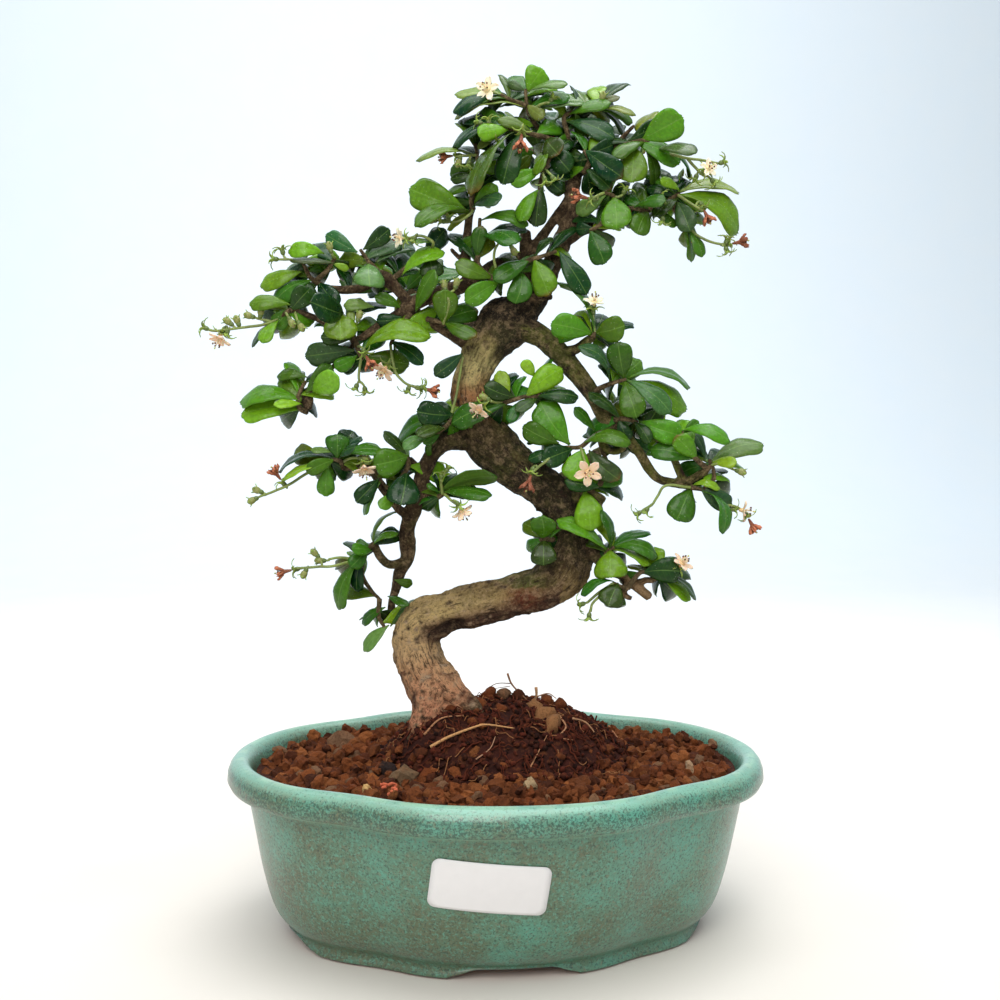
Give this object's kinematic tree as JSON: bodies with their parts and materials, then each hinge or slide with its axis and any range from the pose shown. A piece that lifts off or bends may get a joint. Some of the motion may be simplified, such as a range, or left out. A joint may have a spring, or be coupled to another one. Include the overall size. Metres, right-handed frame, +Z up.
{
  "type": "fukien tea bonsai in a pot",
  "caption": "Old fukien tea bonsai with an S-shaped trunk, leafy pads and small white flowers, rooted in a glazed quatrefoil pot on bracket feet.",
  "frame": {"origin": "centre of the whole part's footprint box, at the ground under the pot's feet", "axes": "+Z up, X along the pot's long side, -Y towards the front with the label"},
  "size_m": [0.2028, 0.156, 0.3084],
  "materials": {
    "glaze": "mottled teal-green glaze, bare clay at the feet",
    "label": "plain white",
    "drain_mesh": "matte black",
    "clay_grain": "dry reddish-brown fired clay grains",
    "soil": "dark fibrous roots and soil",
    "bark": "rough grey-brown bark with moss",
    "leaf": "glossy dark green leaves",
    "petal": "white to peach petals",
    "dried_petal": "dried orange-brown petals"
  },
  "bodies": {
    "root": {"bloom_01": "petal", "bloom_02": "petal", "bloom_03": "petal", "bloom_04": "petal", "bloom_05": "petal", "bloom_06": "petal", "bloom_07": "petal", "bloom_08": "petal", "bloom_09": "petal", "bloom_10": "petal", "bloom_11": "petal", "bloom_12": "petal", "drain_mesh_left": "drain_mesh", "drain_mesh_right": "drain_mesh", "gravel": "clay_grain", "label": "label", "pot": "glaze", "root_ball": "soil", "spray_apex": "leaf", "spray_back_crown": "leaf", "spray_back_left": "leaf", "spray_back_right": "leaf", "spray_crown_centre": "leaf", "spray_crown_left": "leaf", "spray_crown_right": "leaf", "spray_crown_right_end": "leaf", "spray_crown_right_low": "leaf", "spray_crown_right_top": "leaf", "spray_elbow": "leaf", "spray_fork_front": "leaf", "spray_fork_right": "leaf", "spray_hanging_inner": "leaf", "spray_hanging_outer": "leaf", "spray_left_far_tip": "leaf", "spray_left_inner": "leaf", "spray_left_outlier": "leaf", "spray_left_pad": "leaf", "spray_left_shelf": "leaf", "spray_left_upper_tip": "leaf", "spray_low_left": "leaf", "spray_low_right": "leaf", "spray_low_right_tip": "leaf", "spray_right_end": "leaf", "spray_right_of_trunk": "leaf", "spray_right_pad": "leaf", "spray_trunk_front": "leaf", "spray_trunk_sprout": "leaf", "spray_waist_left": "leaf", "wilted_01": "dried_petal", "wilted_02": "dried_petal", "wilted_03": "dried_petal", "wilted_04": "dried_petal", "wilted_05": "dried_petal", "wilted_06": "dried_petal", "wilted_07": "dried_petal", "wilted_08": "dried_petal", "wilted_09": "dried_petal", "wilted_10": "dried_petal", "wilted_11": "dried_petal", "wood": "bark"}
  },
  "joints": []
}
